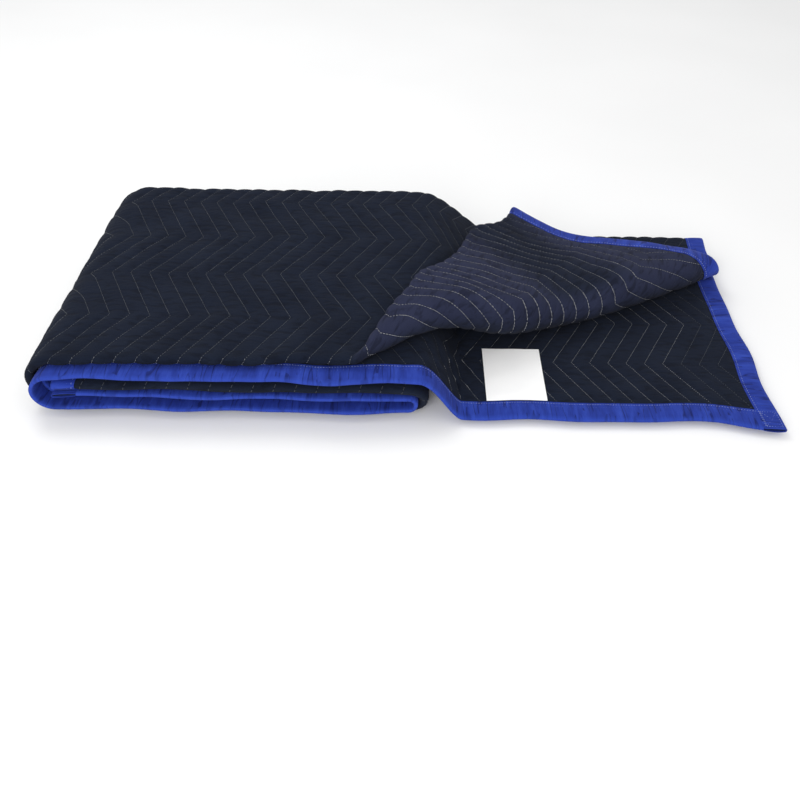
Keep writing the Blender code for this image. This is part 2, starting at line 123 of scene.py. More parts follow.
# where the folds across the width start, as v
frontR = fold["pitchFront"] / 2
frontY = fold["foldEdgeY"] + frontR + cloth["thick"] / 2
outerR = 1.5 * fold["pitchBack"]
innerR = 0.5 * fold["pitchBack"]
backY = (cloth["width"] + 2 * frontY + fold["lowerEdgeY"] - math.pi * (outerR + innerR + frontR)) / 4
vOuter = backY - fold["lowerEdgeY"]
vUpper = vOuter + math.pi * outerR
vFront = vUpper + backY - frontY
vSecond = vFront + math.pi * frontR
vInner = vSecond + backY - frontY
vTop = vInner + math.pi * innerR

# where the turns along the length start, as u
uStep = fold["uStep"]
uLeft = uStep + fold["topPass"]
uBottom = uLeft + fold["leftTurn"]
uRight = uBottom + fold["bottomPass"]
uMiddle = uRight + fold["rightTurn"]


def pitch(y):
    return fold["pitchFront"] + (fold["pitchBack"] - fold["pitchFront"]) * min(max(y / backY, 0.0), 1.0)


def section(v):
    # depth, height in pitches and heading of the folded width
    if v < vOuter:
        return fold["lowerEdgeY"] + v, 0.0, 0.0
    if v < vUpper:
        a = (v - vOuter) / outerR
        return backY + outerR * math.sin(a), 1.5 - 1.5 * math.cos(a), a
    if v < vFront:
        return backY - (v - vUpper), 3.0, math.pi
    if v < vSecond:
        a = (v - vFront) / frontR
        return frontY - frontR * math.sin(a), 2.5 + 0.5 * math.cos(a), math.pi + a
    if v < vInner:
        return frontY + (v - vSecond), 2.0, 2 * math.pi
    if v < vTop:
        a = (v - vInner) / innerR
        return backY + innerR * math.sin(a), 1.5 + 0.5 * math.cos(a), 2 * math.pi - a
    return backY - (v - vTop), 1.0, math.pi


def level(k, y):
    return cloth["thick"] / 2 + (k - 0.5) * pitch(y)


def ground(x, y, width=fold["stepGentle"]):
    rise = fold["topLevel"] - fold["looseLevel"]
    return level(fold["topLevel"] - smooth((x - fold["stepX"]) / width) * rise, y)


def creaseFrame(x, y):
    # distance along the crease and in front of it; it bows back towards its left end
    dx, dy = x - corner["start"][0], y - corner["start"][1]
    along = dx * math.cos(corner["angle"]) + dy * math.sin(corner["angle"])
    ahead = dx * math.sin(corner["angle"]) - dy * math.cos(corner["angle"])
    off = min(abs(along - corner["bowMiddle"]) / corner["bowReach"], 1.0)
    return along, ahead + corner["bow"] * (1 + math.cos(math.pi * off)) / 2


def rollRadius(along):
    for (start, low), (end, high) in zip(corner["roll"], corner["roll"][1:]):
        if along < end:
            return low + (high - low) * smooth((along - start) / (end - start))
    return corner["roll"][-1][1]


def turnedBack(x, y, high):
    along, ahead = creaseFrame(x, y)
    if ahead <= -corner["bridgeLead"]:
        return x, y, high
    middle = 2.5 * pitch(y)
    radius = rollRadius(along)
    own = radius - (high - middle)
    angle = ahead / radius
    swing = 0.0
    if angle < 0:
        reach = ahead
    elif angle < math.pi:
        reach = own * math.sin(angle)
        high = middle + radius - own * math.cos(angle)
    else:
        reach = math.pi * radius - ahead
        settled = smooth(-reach / corner["settle"]) * (1 - corner["lift"])
        high = middle + radius + own - 2 * (radius - fold["pitchBack"]) * settled
        swing = reach * reach / (corner["swingStart"] - reach) / corner["swingLength"]
    shift = reach - ahead
    x += shift * math.sin(corner["angle"]) + corner["swing"][0] * swing
    y += corner["swing"][1] * swing - shift * math.cos(corner["angle"])
    bridge = ground(x, y, corner["bridge"]) - ground(x, y)
    lifted = smooth((ahead + corner["bridgeLead"]) / (math.pi * radius + corner["bridgeLead"]))
    return x, y, high + bridge * lifted


def ripple(s):
    return (math.sin(31 * s + 0.7) + 0.6 * math.sin(53 * s + 2.1) + 0.4 * math.sin(17 * s)) / 1.6


def leftX(y):
    return fold["leftTurnX"] + fold["leftTurnSkew"] * min(max(y / backY, 0.0), 1.0)


def foldForward(u):
    # how far the upper layers' front fold is pulled forward
    overPile = fold["topFoldForward"] * smooth((u - uStep - 0.12) / 0.20)
    more = fold["middleFoldForward"] - fold["topFoldForward"]
    return overPile + more * smooth((u - uRight) / fold["rightTurn"])


def folded(u, v, side):
    # the folded cloth's point at u, v, side metres off its middle
    y, pitches, heading = section(v)
    upper = pitches > 1.5
    layer = 0.0 if v < vOuter else 0.37 if upper else 0.71
    y -= side * math.sin(heading)
    nearFront = 1 - smooth(y / fold["rippleFade"])
    nearEnd = 1 - smooth(u / fold["rippleFade"])
    y += fold["ripple"] * ripple(u + layer) * nearFront
    if upper:
        y -= foldForward(u) * nearFront
    else:
        y -= fold["cornerPull"][1] * nearFront * nearEnd
    p = pitch(y)
    high = pitches * p + side * math.cos(heading)
    rise = fold["topLevel"] - fold["looseLevel"]
    if u < uStep:
        gentle = 1.0 if upper else smooth((y - 0.22) / (backY - 0.02 - 0.22))
        width = fold["stepSteep"] + (fold["stepGentle"] - fold["stepSteep"]) * gentle
        foot = fold["looseEndX"] - fold["stepX"] - width
        if u < foot:
            x, slope = fold["looseEndX"] - u, 0.0
            x += (fold["cornerPull"][0] * nearFront + fold["ripple"] * ripple(v)) * nearEnd
        else:
            t = (uStep - u) / (uStep - foot)
            x = fold["stepX"] + width * t
            slope = -rise * p * 6 * t * (1 - t) / width
        if upper:
            x, y, high = turnedBack(x, y, high)
            return Vector((x, y, ground(x, y) + high))
        drop = smooth((x - fold["stepX"]) / width) * rise
        lean = -slope * (1 - gentle) * fold["stepLean"]
        norm = math.hypot(lean, 1.0)
        return Vector((x + high * lean / norm, y, level(fold["topLevel"] - drop, y) + high / norm))
    if u < uLeft:
        x = fold["stepX"] + (leftX(y) - fold["stepX"]) * (u - uStep) / (uLeft - uStep)
        if upper:
            x, y, high = turnedBack(x, y, high)
        return Vector((x, y, ground(x, y) + high))
    if u < uBottom:
        a = math.pi * (u - uLeft) / (uBottom - uLeft)
        r = fold["leftPitches"] * p + high
        middle = (fold["topLevel"] + fold["bottomLevel"]) / 2
        return Vector((leftX(y) - r * math.sin(a), y, level(middle, y) + r * math.cos(a)))
    if u < uRight:
        x = leftX(y)
        x += (fold["rightTurnX"] - x) * (u - uBottom) / (uRight - uBottom)
        return Vector((x, y, level(fold["bottomLevel"], y) - high))
    if u < uMiddle:
        a = math.pi * (u - uRight) / (uMiddle - uRight)
        r = fold["rightPitches"] * p + high
        middle = (fold["middleLevel"] + fold["bottomLevel"]) / 2
        return Vector((fold["rightTurnX"] + r * math.sin(a), y, level(middle, y) - r * math.cos(a)))
    x = fold["rightTurnX"]
    x += (leftX(y) - x) * (u - uMiddle) / (cloth["length"] - uMiddle)
    return Vector((x, y, level(fold["middleLevel"], y) + high))


label = {
    "u": 0.316,
    "width": 0.085,
    "depth": 0.118,
    "thick": 0.0005,
    "off": 0.0031 + 0.0003,
    "columns": 24,
    "rows": 36,
    "lift": 0.0004,
}

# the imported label's box says where the CAD's origin lies
labelTop = cloth["width"] - cloth["edgeBand"] - cloth["gap"]
labelPoints = [
    folded(
        label["u"] + label["width"] * i / 4,
        labelTop - label["depth"] * j / 6,
        -label["off"] - k * label["thick"],
    )
    for i in range(5) for j in range(7) for k in range(2)
]
lowLabel = Vector([min(p[i] for p in labelPoints) for i in range(3)])
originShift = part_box("label")[0] - lowLabel
print("origin shift:", [round(s, 5) for s in originShift])

rumple = {"size": 0.075, "fineSize": 0.034, "amount": 0.030, "crumple": 0.0026}


def place(u, v, side):
    p = folded(u, v, side) + originShift
    # soft rumples: the higher a point lies, the more it is lifted or lowered
    broad = noise.noise(Vector((p.x, p.y, 0.3)) / rumple["size"])
    fine = noise.noise(Vector((p.y, p.x, 1.7)) / rumple["fineSize"])
    p.z = max(p.z * (1 + rumple["amount"] * (broad + 0.5 * fine)), 0.0)
    return p


def legsAt(v):
    # the zigzag's legs creep a little on the second layer
    creep = quilt["creep"] * min(max((vInner - v) / (vInner - vFront), 0.0), 1.0)
    return (cloth["width"] - quilt["start"] - v) / quilt["leg"] + creep


def zigzag(v):
    return quilt["swing"] * (1 - 2 * abs((legsAt(v) % 2) - 1))


def relief(u, v):
    # puffed channels between the stitch lines of the outer face
    fromEdges = min(v - cloth["edgeBand"], cloth["width"] - cloth["edgeBand"] - v)
    inside = min(fromEdges, u - cloth["endBand"]) / 0.006
    depth = smooth(inside) * (1 - smooth((u - uRight + 0.03) / 0.03))
    puff = quilt["puff"] if u < uBottom - 0.01 and v > vOuter + 0.01 else 0.0
    phase = (u - zigzag(v)) / quilt["spacing"]
    swell = abs(math.sin(math.pi * phase)) ** 0.65
    return depth * ((quilt["groove"] + puff) * swell - quilt["groove"]) + crumpled(u, v)


def crumpled(u, v):
    # sharp little folds on the spread layer where it comes down from the pile
    zone = smooth((u - 0.40) / 0.03) * (1 - smooth((u - 0.55) / 0.04)) * smooth((v - 1.50) / 0.08)
    if zone <= 0.0:
        return 0.0
    ridge = 1 - 2.4 * abs(noise.noise(Vector((u / 0.017, v / 0.032, 9.1))))
    besideTape = smooth((cloth["width"] - cloth["edgeBand"] - v) / 0.02)
    return rumple["crumple"] * zone * max(ridge, 0.0) * besideTape


def halfThick(u, v):
    inside = min(
        v - cloth["edgeBand"], cloth["width"] - cloth["edgeBand"] - v,
        u - cloth["endBand"], cloth["length"] - cloth["endBand"] - u,
    ) / 0.005
    t = min(max((inside - 0.06) / 0.94, 0.0), 1.0)
    return (cloth["hem"] + (cloth["thick"] - cloth["hem"]) * t) / 2


def span(start, end, count):
    return [start + (end - start) * i / count for i in range(count + 1)]


def addPiece(name, mesh):
    piece = bpy.data.objects.new(name, mesh)
    bpy.context.scene.collection.objects.link(piece)
    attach(piece, "root")
    print("made", name, len(mesh.polygons), "faces")
    return piece


def newPiece(name, bm, material, smoothAngle):
    bmesh.ops.recalc_face_normals(bm, faces=bm.faces)
    if bm.calc_volume(signed=True) < 0:
        bmesh.ops.reverse_faces(bm, faces=bm.faces)
    mesh = bpy.data.meshes.new(name)
    bm.to_mesh(mesh)
    bm.free()
    mesh.materials.append(material)
    mesh.shade_smooth()
    mesh.set_sharp_from_angle(angle=math.radians(smoothAngle))
    return addPiece(name, mesh)


class Nodes:
    # short hand for wiring one material's nodes
    def __init__(self, name, colour, roughness, sheen):
        self.material = bpy.data.materials.new(name)
        self.material.use_nodes = True
        self.tree = self.material.node_tree
        self.shader = self.tree.nodes["Principled BSDF"]
        self.shader.inputs["Base Color"].default_value = (*colour, 1)
        self.shader.inputs["Roughness"].default_value = roughness
        self.shader.inputs["Sheen Weight"].default_value = sheen
        self.shader.inputs["Sheen Roughness"].default_value = 0.6
        self.shader.inputs["Specular IOR Level"].default_value = 0.06

    def node(self, kind, **values):
        made = self.tree.nodes.new(kind)
        for key, value in values.items():
            setattr(made, key, value)
        return made

    def link(self, source, target):
        self.tree.links.new(source, target)

    def math(self, operation, one, two=0.0, three=None):
        made = self.node("ShaderNodeMath", operation=operation)
        for socket, value in zip(made.inputs, (one, two, three)):
            if value is None:
                continue
            if isinstance(value, (int, float)):
                socket.default_value = value
            else:
                self.link(value, socket)
        return made.outputs[0]

    def noise(self, vector, scale, stretch=(1, 1, 1), detail=3.0, twist=0.0):
        mapping = self.node("ShaderNodeMapping")
        mapping.inputs["Scale"].default_value = stretch
        self.link(vector, mapping.inputs["Vector"])
        made = self.node("ShaderNodeTexNoise")
        made.inputs["Scale"].default_value = scale
        made.inputs["Detail"].default_value = detail
        made.inputs["Distortion"].default_value = twist
        self.link(mapping.outputs["Vector"], made.inputs["Vector"])
        return made.outputs["Fac"]

    def flatPlace(self):
        return self.node("ShaderNodeUVMap", uv_map="cloth").outputs["UV"]

    def bands(self, vector, apart):
        made = self.node("ShaderNodeTexWave", wave_type="BANDS", bands_direction="X")
        made.inputs["Scale"].default_value = 1 / apart / 20 * math.pi
        self.link(vector, made.inputs["Vector"])
        return made.outputs["Fac"]

    def ramp(self, factor, stops):
        made = self.node("ShaderNodeValToRGB")
        ends = made.color_ramp.elements
        while len(ends) < len(stops):
            ends.new(0.5)
        for end, (place, colour) in zip(ends, stops):
            end.position = place
            end.color = (*colour, 1)
        self.link(factor, made.inputs["Fac"])
        return made.outputs["Color"]

    def mix(self, factor, one, two):
        made = self.node("ShaderNodeMix", data_type="RGBA")
        for index, value in ((0, factor), (6, one), (7, two)):
            if isinstance(value, (int, float)):
                made.inputs[index].default_value = value
            elif isinstance(value, tuple):
                made.inputs[index].default_value = (*value, 1)
            else:
                self.link(value, made.inputs[index])
        return made.outputs[2]

    def bump(self, height, strength, distance, after=None):
        made = self.node("ShaderNodeBump")
        made.inputs["Strength"].default_value = strength
        made.inputs["Distance"].default_value = distance
        self.link(height, made.inputs["Height"])
        if after is not None:
            self.link(after, made.inputs["Normal"])
        return made.outputs["Normal"]


clothLook = {
    "dark": (0.0050, 0.0075, 0.0165),
    "light": (0.0108, 0.0155, 0.0300),
    # painted light: lighter copies of the cloth colour for the flap, which faces the front lamp
    "flapLitDark": (0.0160, 0.0190, 0.0420),
    "flapLitLight": (0.0290, 0.0340, 0.0700),
    "thread": (0.10, 0.11, 0.13),
    # painted light: the same stitch thread drawn paler on the flap
    "flapLitThread": (0.30, 0.31, 0.34),
    # painted shade colour for the creases' hollows
    "creaseShade": (0.003, 0.004, 0.008),
    # painted shade colour along the stitch lines' grooves
    "grooveShade": (0.004, 0.005, 0.010),
    "threadWidth": 0.00022,
    "grooveShadeWidth": 0.0012,
    "stitch": 0.0036,
    "dash": 0.62,
    "margin": 0.002,
    "weave": 0.0011,
}


def clothMaterial():
    n = Nodes("quilted cloth", clothLook["dark"], 0.95, 0.02)
    uv = n.flatPlace()
    parts = n.node("ShaderNodeSeparateXYZ")
    n.link(uv, parts.inputs[0])
    u, v = parts.outputs["X"], parts.outputs["Y"]
    # the zigzag stitch lines, painted in flat cloth coordinates
    legs = n.math("DIVIDE", n.math("SUBTRACT", cloth["width"] - quilt["start"], v), quilt["leg"])
    creep = n.node("ShaderNodeMapRange", clamp=True)
    for socket, value in zip(creep.inputs[1:5], (vFront, vInner, quilt["creep"], 0.0)):
        socket.default_value = value
    n.link(v, creep.inputs["Value"])
    legs = n.math("ADD", legs, creep.outputs["Result"])
    swing = n.math("MULTIPLY_ADD", n.math("PINGPONG", legs, 1.0), 2 * quilt["swing"], -quilt["swing"])
    phase = n.math("DIVIDE", n.math("SUBTRACT", u, swing), quilt["spacing"])
    off = n.math("MULTIPLY", n.math("PINGPONG", phase, 0.5), quilt["spacing"])
    line = n.math("LESS_THAN", off, clothLook["threadWidth"])
    dash = n.math("FRACT", n.math("DIVIDE", v, clothLook["stitch"]))
    dash = n.math("LESS_THAN", dash, clothLook["dash"])
    margin = cloth["edgeBand"] + clothLook["margin"]
    inside = n.math("GREATER_THAN", v, margin)
    inside = n.math("MULTIPLY", inside, n.math("LESS_THAN", v, cloth["width"] - margin))
    stitch = n.math("MULTIPLY", n.math("MULTIPLY", line, dash), inside)
    # painted light: the rolled-back flap is drawn lighter where it turns to face the front lamp, and
    # darker again as painted shade down its valley
    paintedFlapLight = n.node("ShaderNodeAttribute", attribute_name="paintedFlapLight").outputs["Fac"]
    blotch = n.noise(uv, 16.0, detail=4.0)
    fleck = n.noise(uv, 900.0, detail=2.0)
    mottle = n.math("MULTIPLY_ADD", fleck, 0.45, n.math("MULTIPLY", blotch, 0.55))
    plain = n.ramp(mottle, ((0.30, clothLook["dark"]), (0.72, clothLook["light"])))
    litFlapColour = n.ramp(mottle, ((0.30, clothLook["flapLitDark"]), (0.72, clothLook["flapLitLight"])))
    colour = n.mix(paintedFlapLight, plain, litFlapColour)
    creases = n.noise(uv, 1.0, (44, 150, 1), 4.0, 0.6)
    # painted shade: the creases' low parts drawn darker
    creaseShade = n.ramp(creases, ((0.36, (1, 1, 1)), (0.50, (0, 0, 0))))
    colour = n.mix(n.math("MULTIPLY", creaseShade, 0.45), colour, clothLook["creaseShade"])
    # painted shade: a dark band in the groove along each stitch line
    grooveShade = n.math("LESS_THAN", off, clothLook["grooveShadeWidth"])
    colour = n.mix(n.math("MULTIPLY", grooveShade, 0.40), colour, clothLook["grooveShade"])
    # painted light on the stitches: their thread is drawn paler on the flap
    colour = n.mix(stitch, colour, n.mix(paintedFlapLight, clothLook["thread"], clothLook["flapLitThread"]))
    n.link(colour, n.shader.inputs["Base Color"])
    # weave, fine creases that run across the stitch lines, and the thread's own height
    weave = n.bands(uv, clothLook["weave"])
    puckers = n.noise(uv, 1.0, (170, 420, 1), 2.0, 0.4)
    normal = n.bump(creases, 0.60, 0.0030)
    normal = n.bump(puckers, 0.30, 0.0008, normal)
    normal = n.bump(weave, 0.20, 0.0002, normal)
    normal = n.bump(fleck, 0.25, 0.0003, normal)
    n.link(normal, n.shader.inputs["Normal"])
    return n.material


bandLook = {
    # painted shade colour for the pleats
    "shadedPleat": (0.004, 0.008, 0.075),
    "dark": (0.011, 0.025, 0.185),
    "mid": (0.017, 0.039, 0.285),
    "light": (0.030, 0.066, 0.400),
    "rib": 0.0012,
    "rim": 0.007,
    "pleatWidth": 0.028,
    "pleatFrom": 0.47,
}


def bandMaterial():
    n = Nodes("blue binding tape", bandLook["light"], 0.75, 0.03)
    uv = n.flatPlace()
    # gathers across the tape, where the binder pulled it in; their hollows are drawn darker as painted
    # shade and their crests paler as painted light
    gathers = n.noise(uv, 1.0, (85, 14, 1), 3.0)
    fine = n.noise(uv, 1.0, (520, 60, 1), 2.0)
    grain = n.noise(uv, 1400.0, detail=1.0)
    tone = n.math("MULTIPLY_ADD", gathers, 0.60, n.math("MULTIPLY", grain, 0.15))
    tone = n.math("MULTIPLY_ADD", fine, 0.25, tone)
    colour = n.ramp(tone, ((0.34, bandLook["dark"]), (0.50, bandLook["mid"]), (0.68, bandLook["light"])))
    # narrow pleats drawn darker as painted shade, and the rim drawn paler as a painted highlight
    creases = n.noise(uv, 1.0, (75, 9, 1), 1.0)
    off = n.math("DIVIDE", n.math("ABSOLUTE", n.math("SUBTRACT", creases, 0.5)), bandLook["pleatWidth"])
    shadedPleat = n.math("SUBTRACT", 1.0, n.math("MINIMUM", off, 1.0))
    patches = n.noise(uv, 1.0, (40, 30, 1), 1.0)
    shadedPleat = n.math("MULTIPLY", shadedPleat, n.math("GREATER_THAN", patches, bandLook["pleatFrom"]))
    # painted shade in the pleats
    colour = n.mix(n.math("MULTIPLY", shadedPleat, 0.75), colour, bandLook["shadedPleat"])
    parts = n.node("ShaderNodeSeparateXYZ")
    n.link(uv, parts.inputs[0])
    # painted highlight along the tape's folded rim
    edge = n.math("DIVIDE", n.math("ABSOLUTE", parts.outputs["Y"]), bandLook["rim"])
    rim = n.math("SUBTRACT", 1.0, n.math("MINIMUM", edge, 1.0))
    colour = n.mix(n.math("MULTIPLY", rim, 0.45), colour, bandLook["light"])
    n.link(colour, n.shader.inputs["Base Color"])
    ribs = n.bands(uv, bandLook["rib"])
    normal = n.bump(gathers, 0.55, 0.0026)
    normal = n.bump(n.math("SUBTRACT", 1.0, shadedPleat), 0.50, 0.0009, normal)
    normal = n.bump(fine, 0.35, 0.0006, normal)
    normal = n.bump(ribs, 0.15, 0.0002, normal)
    n.link(normal, n.shader.inputs["Normal"])
    return n.material


def labelMaterial():
    n = Nodes("white label cloth", (0.93, 0.93, 0.93), 0.6, 0.05)
    uv = n.flatPlace()
    soft = n.noise(uv, 1.0, (30, 22, 1), 2.0)
    weave = n.noise(uv, 1.0, (1500, 1500, 1), 1.0)
    colour = n.ramp(soft, ((0.3, (0.94, 0.94, 0.942)), (0.7, (0.97, 0.97, 0.97))))
    n.link(colour, n.shader.inputs["Base Color"])
    n.link(n.bump(weave, 0.12, 0.0002, n.bump(soft, 0.15, 0.0015)), n.shader.inputs["Normal"])
    return n.material


def threadMaterial(name, dark, light):
    n = Nodes(name, light, 0.6, 0.1)
    where = n.node("ShaderNodeTexCoord").outputs["Object"]
    tone = n.noise(where, 420.0, detail=1.0)
    n.link(n.ramp(tone, ((0.3, dark), (0.7, light))), n.shader.inputs["Base Color"])
    n.link(n.bump(tone, 0.3, 0.0003), n.shader.inputs["Normal"])
    return n.material


clothFinish = clothMaterial()
bandFinish = bandMaterial()
labelFinish = labelMaterial()
# painted shade: the top layer's quilting thread is drawn darker than the same thread on the flap and
# spread
shadedTopThread = threadMaterial("greyish thread in painted shade", (0.07, 0.08, 0.09), (0.17, 0.18, 0.20))
quiltThread = threadMaterial("whitish quilting thread", (0.28, 0.29, 0.32), (0.52, 0.53, 0.55))
bandThread = threadMaterial("pale blue binding thread", (0.16, 0.22, 0.50), (0.38, 0.44, 0.72))
print("materials ready")


def gridPiece(us, vs, kept=()):
    # a flat grid with one column for each u and one row for each v
    bm = bmesh.new()
    for name in kept:
        bm.verts.layers.float.new(name)
    bmesh.ops.create_grid(bm, x_segments=len(us) - 1, y_segments=len(vs) - 1, size=0.5)
    uvLayer = bm.loops.layers.uv.new("cloth")
    wide, deep = len(us) - 1, len(vs) - 1
    spots = {}
    for vert in bm.verts:
        spots[vert] = round((vert.co.x + 0.5) * wide), round((vert.co.y + 0.5) * deep)
    return bm, uvLayer, spots


def setUvs(bm, uvLayer, uvOf):
    for face in bm.faces:
        for loop in face.loops:
            loop[uvLayer].uv = uvOf[loop.vert]


# the quilted cloth
panel = {
    "perChannel": 6,
    "perLeg": 9,
    "rowGap": 0.0035,
    "innerColumns": 34,
    "turnColumns": 8,
    "lastColumns": 18,
}


def panelColumns():
    step = quilt["spacing"] / panel["perChannel"]
    us = [cloth["edgeSet"], 0.016, cloth["endBand"] + cloth["gap"], cloth["endBand"] + 0.005]
    u = math.ceil(0.038 / step) * step
    while u < uBottom - 0.002:
        us.append(u)
        u += step
    us += span(uBottom, uRight - 0.010, panel["innerColumns"])
    us += span(uRight, uMiddle, panel["turnColumns"])
    us += span(uMiddle + 0.02, cloth["length"] - 0.05, panel["lastColumns"])
    us += [cloth["length"] - cloth["endBand"] - 0.005, cloth["length"] - cloth["endBand"] - cloth["gap"]]
    return us + [cloth["length"] - 0.016, cloth["length"] - cloth["edgeSet"]]


def vOfLegs(legs):
    low, high = 0.0, cloth["width"]
    for _ in range(40):
        middle = (low + high) / 2
        low, high = (middle, high) if legsAt(middle) > legs else (low, middle)
    return low


def panelRows():
    edge = [cloth["edgeSet"], 0.012, 0.024, cloth["edgeBand"] + cloth["gap"], cloth["edgeBand"] + 0.005]
    vs = edge + [cloth["width"] - v for v in edge]
    vs += span(vOuter, vUpper, 9) + span(vFront, vSecond, 6) + span(vInner, vTop, 6)
    for i in range(int((cloth["width"] / quilt["leg"] + 1) * panel["perLeg"])):
        v = vOfLegs(i / panel["perLeg"])
        hidden = 0.06 < v < vOuter - 0.03 and i % 4
        apart = min(abs(v - w) for w in vs) > panel["rowGap"]
        if 0.044 < v < cloth["width"] - 0.044 and not hidden and apart:
            vs.append(v)
    return sorted(vs)


def shear(c):
    # how much of the zigzag a column follows
    return smooth((c - 0.036) / 0.060) * (1 - smooth((c - uBottom - 0.10) / 0.20))


def flatXY(u, v):
    y = section(v)[0]
    foot = fold["looseEndX"] - fold["stepX"] - fold["stepGentle"]
    if u < foot:
        return fold["looseEndX"] - u, y
    if u < uStep:
        return fold["stepX"] + fold["stepGentle"] * (uStep - u) / (uStep - foot), y
    return fold["stepX"] + (leftX(y) - fold["stepX"]) * (u - uStep) / (uLeft - uStep), y


def turn(u, v):
    # how far round the corner's roll a point of the upper layers lies
    along, ahead = creaseFrame(*flatXY(u, v))
    return ahead / rollRadius(along)


# painted light on the flap: more the further round its roll a point turns towards the front lamp, less
# in the painted shade down its valley
def paintedFlapLightOf(u, v):
    if not (vUpper < v < vInner and u < uLeft):
        return 0.0
    along = creaseFrame(*flatXY(u, v))[0]
    # painted shade down the flap's valley
    valleyShade = smooth(1.3 - abs(along - 0.405) / 0.085) * smooth((turn(u, v) - 2.0) / 1.5)
    return smooth((turn(u, v) - 0.35) / 2.2) * (1 - 0.9 * valleyShade)


def buildPanel():
    us, vs = panelColumns(), panelRows()
    print("panel grid", len(us), "x", len(vs))
    bm, uvLayer, spots = gridPiece(us, vs, ("u", "v", "paintedFlapLight"))
    flat = {}
    for vert, (i, j) in spots.items():
        flat[vert] = us[i] + zigzag(vs[j]) * shear(us[i]), vs[j]
    setUvs(bm, uvLayer, flat)
    uLayer, vLayer, paintedFlapLightLayer = [bm.verts.layers.float[name] for name in ("u", "v", "paintedFlapLight")]
    for vert, (u, v) in flat.items():
        vert[uLayer], vert[vLayer], vert[paintedFlapLightLayer] = u, v, paintedFlapLightOf(u, v)
    raised = bmesh.ops.extrude_face_region(bm, geom=bm.faces[:], use_keep_orig=True)["geom"]
    backs = {e for e in raised if isinstance(e, bmesh.types.BMVert)}
    for vert in bm.verts:
        u, v = vert[uLayer], vert[vLayer]
        if vert in backs:
            vert.co = place(u, v, halfThick(u, v))
        else:
            vert.co = place(u, v, -halfThick(u, v) - relief(u, v))
    return newPiece("quiltedCloth", bm, clothFinish, 75)


quiltedCloth = buildPanel()
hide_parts("quilted_panel")


# the blue tape round the edges
band = {"thick": 0.0007, "tip": 0.0012, "gather": 0.00045, "station": 0.0045}


def bandWalls(width):
    outer = cloth["thick"] / 2
    near = [(width, outer * 0.88), (width * 0.90, outer * 0.90), (width * 0.70, outer * 1.12)]
    near += [(width * 0.40, outer * 1.20), (width * 0.15, outer * 1.10), (band["tip"], outer * 0.96)]
    near += [(0.0002, outer * 0.55)]
    return near + [(d, -s) for d, s in reversed(near)]


def gather(s, d, width):
    # small pleats, deepest at the stitching
    t = noise.noise(Vector((s / 0.011, d / 0.03, 4.2)))
    t += 0.6 * noise.noise(Vector((s / 0.004, 7.7, 0.2)))
    across = math.sin(math.pi * min(max(d / width, 0.0), 1.0))
    return band["gather"] * min(max(t - 0.1, -0.9), 0.2) * across


def buildBand(name, node, stations, width, toCloth):
    walls = bandWalls(width)
    bm, uvLayer, spots = gridPiece(stations, walls)
    flat = {}
    for vert, (i, j) in spots.items():
        d, s = walls[j]
        out = math.copysign(gather(stations[i], d, width), s)
        vert.co = place(*toCloth(stations[i], d), s + out)
        flat[vert] = stations[i], d if s < 0 else -d
    setUvs(bm, uvLayer, flat)
    bmesh.ops.recalc_face_normals(bm, faces=bm.faces)
    middle = next(vert for vert, (i, j) in spots.items() if i == len(stations) // 2 and j == 0)
    u, d = toCloth(stations[len(stations) // 2], walls[0][0])
    inwards = place(u, d, 0.0) - middle.co
    if middle.normal.dot(inwards) > 0:
        bmesh.ops.reverse_faces(bm, faces=bm.faces)
    bmesh.ops.solidify(bm, geom=bm.faces[:], thickness=band["thick"])
    piece = newPiece(name, bm, bandFinish, 50)
    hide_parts(node)
    return piece


def evenly(start, end, step):
    return span(start, end, max(1, round((end - start) / step)))


# where the bands' stations lie, closer in the folds
first = cloth["endBand"] + cloth["gap"]
last = cloth["length"] - cloth["endBand"] - cloth["gap"]
alongLength = evenly(first, uRight, band["station"]) + evenly(uRight, uMiddle, 0.003)[1:]
alongLength += evenly(uMiddle, last, 0.012)[1:]
alongWidth = [0.0]
for low, high, step in (
    (0.0, vOuter, 0.006), (vOuter, vUpper, 0.004), (vUpper, vFront, band["station"]),
    (vFront, vSecond, 0.0016), (vSecond, vInner, band["station"]), (vInner, vTop, 0.0026),
    (vTop, cloth["width"], band["station"]),
):
    alongWidth += evenly(low, high, step)[1:]

bands = [
    buildBand("lowerEdgeBand", "lower_edge_binding", alongLength, cloth["edgeBand"],
              lambda s, d: (s, d)),
    buildBand("frontEdgeBand", "front_edge_binding", alongLength, cloth["edgeBand"],
              lambda s, d: (s, cloth["width"] - d)),
    buildBand("looseEndBand", "loose_end_binding", alongWidth, cloth["endBand"],
              lambda s, d: (d, s)),
    buildBand("innerEndBand", "inner_end_binding", alongWidth, cloth["endBand"],
              lambda s, d: (cloth["length"] - d, s)),
]


# the blank sewn label
def buildLabel():
    us = span(label["u"], label["u"] + label["width"], label["columns"])
    vs = span(labelTop - label["depth"], labelTop, label["rows"])
    bm, uvLayer, spots = gridPiece(us, vs)
    flat = {vert: (us[i], vs[j]) for vert, (i, j) in spots.items()}
    setUvs(bm, uvLayer, flat)
    for vert, (u, v) in flat.items():
        lift = label["lift"] * noise.noise(Vector((u / 0.02, v / 0.03, 2.0)))
        vert.co = place(u, v, -label["off"] - label["thick"] - max(lift, 0.0))
    bmesh.ops.recalc_face_normals(bm, faces=bm.faces)
    if sum(f.normal.z for f in bm.faces) < 0:
        bmesh.ops.reverse_faces(bm, faces=bm.faces)
    bmesh.ops.solidify(bm, geom=bm.faces[:], thickness=label["thick"])
    return newPiece("sewnLabel", bm, labelFinish, 50)


sewnLabel = buildLabel()
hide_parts("label")


